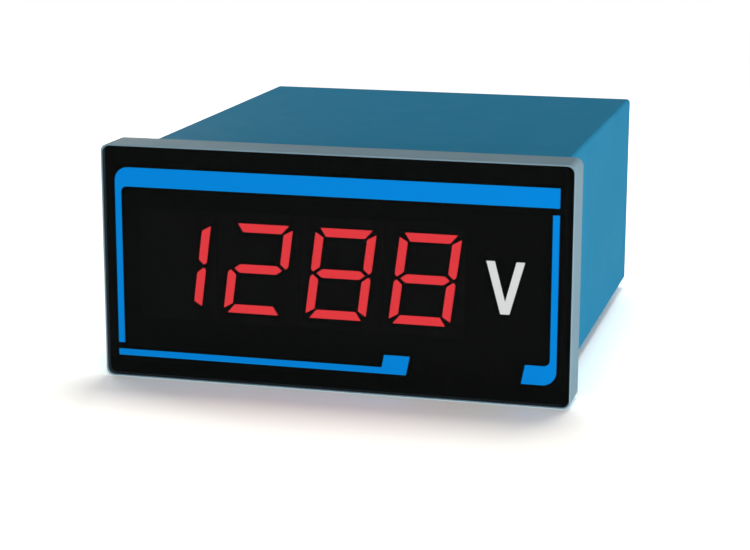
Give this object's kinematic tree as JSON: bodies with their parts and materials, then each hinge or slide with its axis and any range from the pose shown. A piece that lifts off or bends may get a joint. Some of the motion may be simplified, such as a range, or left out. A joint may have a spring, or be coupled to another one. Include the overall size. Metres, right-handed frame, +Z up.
{
  "type": "digital panel meter",
  "caption": "Rectangular panel voltmeter with a red seven-segment display, a deep blue housing and screw terminals at the back.",
  "frame": {"origin": "middle of the bezel's back face, which seats on the panel", "axes": "+Y into the panel, away from the viewer; +Z up; +X to the right as seen from the front"},
  "size_m": [0.096, 0.117, 0.048],
  "materials": {
    "bezel_plastic": "smooth grey moulding",
    "tinted_window": "dark tinted gloss",
    "black_ink": "black print",
    "blue_ink": "blue print",
    "housing_plastic": "fine satin moulding",
    "screw_steel": "bright zinc plating",
    "circuit_board": "green solder mask",
    "digit_package": "black moulding",
    "lit_segment": "lit red diffuser",
    "dark_segment": "unlit diffuser",
    "tinned_wire": "tinned",
    "black_moulding": "black moulding",
    "core_steel": "varnished laminations",
    "bobbin_plastic": "natural nylon",
    "winding": "taped copper winding",
    "capacitor_sleeve": "shrunk sleeve",
    "film_capacitor": "dipped case",
    "resistor_coating": "lacquer with bands",
    "trimmer_plastic": "blue moulding",
    "brass": "turned",
    "block_plastic": "black moulding",
    "plated_brass": "nickel plated",
    "saddle_steel": "bright zinc plating"
  },
  "bodies": {
    "meter": {"bezel": "bezel_plastic", "front_window": "tinted_window", "window_mask": "black_ink", "front_print": "blue_ink", "housing": "housing_plastic", "rear_cover": "housing_plastic", "cover_screws": "screw_steel", "display_board": "circuit_board", "digit_1": "digit_package", "digit_2": "digit_package", "digit_3": "digit_package", "digit_4": "digit_package", "lit_segments": "lit_segment", "unlit_segments": "dark_segment", "digit_pins": "tinned_wire", "header_body": "black_moulding", "header_pins": "tinned_wire", "main_board": "circuit_board", "converter_chip": "black_moulding", "chip_legs": "tinned_wire", "transformer_core": "core_steel", "transformer_bobbin": "bobbin_plastic", "transformer_winding": "winding", "bridge_rectifier": "black_moulding", "filter_capacitors": "capacitor_sleeve", "voltage_regulator": "black_moulding", "regulator_tab": "tinned_wire", "film_capacitors": "film_capacitor", "resistors": "resistor_coating", "trimmer_bodies": "trimmer_plastic", "terminal_block": "block_plastic", "terminal_contacts": "plated_brass"},
    "terminal_saddle_1": {"terminal_saddle_1": "saddle_steel"},
    "terminal_screw_1": {"terminal_screw_1": "screw_steel"},
    "terminal_saddle_2": {"terminal_saddle_2": "saddle_steel"},
    "terminal_screw_2": {"terminal_screw_2": "screw_steel"},
    "terminal_saddle_3": {"terminal_saddle_3": "saddle_steel"},
    "terminal_screw_3": {"terminal_screw_3": "screw_steel"},
    "terminal_saddle_4": {"terminal_saddle_4": "saddle_steel"},
    "terminal_screw_4": {"terminal_screw_4": "screw_steel"},
    "terminal_saddle_5": {"terminal_saddle_5": "saddle_steel"},
    "terminal_screw_5": {"terminal_screw_5": "screw_steel"},
    "terminal_saddle_6": {"terminal_saddle_6": "saddle_steel"},
    "terminal_screw_6": {"terminal_screw_6": "screw_steel"},
    "zero_trimmer": {"zero_trimmer_screw": "brass"},
    "span_trimmer": {"span_trimmer_screw": "brass"}
  },
  "joints": [
    {"name": "terminal_lift_1", "type": "slide", "parent": "meter", "child": "terminal_saddle_1", "axis": [0, 1, 0], "range_m": [0, 0.003]},
    {"name": "terminal_turn_1", "type": "hinge", "parent": "terminal_saddle_1", "child": "terminal_screw_1", "pos_m": [0.01905, 0.101, -0.006], "axis": [0, 1, 0], "range_deg": [0, 2160]},
    {"name": "terminal_lift_2", "type": "slide", "parent": "meter", "child": "terminal_saddle_2", "axis": [0, 1, 0], "range_m": [0, 0.003]},
    {"name": "terminal_turn_2", "type": "hinge", "parent": "terminal_saddle_2", "child": "terminal_screw_2", "pos_m": [0.01143, 0.101, -0.006], "axis": [0, 1, 0], "range_deg": [0, 2160]},
    {"name": "terminal_lift_3", "type": "slide", "parent": "meter", "child": "terminal_saddle_3", "axis": [0, 1, 0], "range_m": [0, 0.003]},
    {"name": "terminal_turn_3", "type": "hinge", "parent": "terminal_saddle_3", "child": "terminal_screw_3", "pos_m": [0.00381, 0.101, -0.006], "axis": [0, 1, 0], "range_deg": [0, 2160]},
    {"name": "terminal_lift_4", "type": "slide", "parent": "meter", "child": "terminal_saddle_4", "axis": [0, 1, 0], "range_m": [0, 0.003]},
    {"name": "terminal_turn_4", "type": "hinge", "parent": "terminal_saddle_4", "child": "terminal_screw_4", "pos_m": [-0.00381, 0.101, -0.006], "axis": [0, 1, 0], "range_deg": [0, 2160]},
    {"name": "terminal_lift_5", "type": "slide", "parent": "meter", "child": "terminal_saddle_5", "axis": [0, 1, 0], "range_m": [0, 0.003]},
    {"name": "terminal_turn_5", "type": "hinge", "parent": "terminal_saddle_5", "child": "terminal_screw_5", "pos_m": [-0.01143, 0.101, -0.006], "axis": [0, 1, 0], "range_deg": [0, 2160]},
    {"name": "terminal_lift_6", "type": "slide", "parent": "meter", "child": "terminal_saddle_6", "axis": [0, 1, 0], "range_m": [0, 0.003]},
    {"name": "terminal_turn_6", "type": "hinge", "parent": "terminal_saddle_6", "child": "terminal_screw_6", "pos_m": [-0.01905, 0.101, -0.006], "axis": [0, 1, 0], "range_deg": [0, 2160]},
    {"name": "zero_adjust", "type": "hinge", "parent": "meter", "child": "zero_trimmer", "pos_m": [-0.032, 0.0226, -0.0017], "axis": [0, 0, 1], "continuous": true},
    {"name": "span_adjust", "type": "hinge", "parent": "meter", "child": "span_trimmer", "pos_m": [-0.022, 0.0226, -0.0017], "axis": [0, 0, 1], "continuous": true}
  ],
  "couplings": [
    {"joint": "terminal_turn_1", "follows": "terminal_lift_1", "rad_per_m": 12566},
    {"joint": "terminal_turn_2", "follows": "terminal_lift_2", "rad_per_m": 12566},
    {"joint": "terminal_turn_3", "follows": "terminal_lift_3", "rad_per_m": 12566},
    {"joint": "terminal_turn_4", "follows": "terminal_lift_4", "rad_per_m": 12566},
    {"joint": "terminal_turn_5", "follows": "terminal_lift_5", "rad_per_m": 12566},
    {"joint": "terminal_turn_6", "follows": "terminal_lift_6", "rad_per_m": 12566}
  ]
}
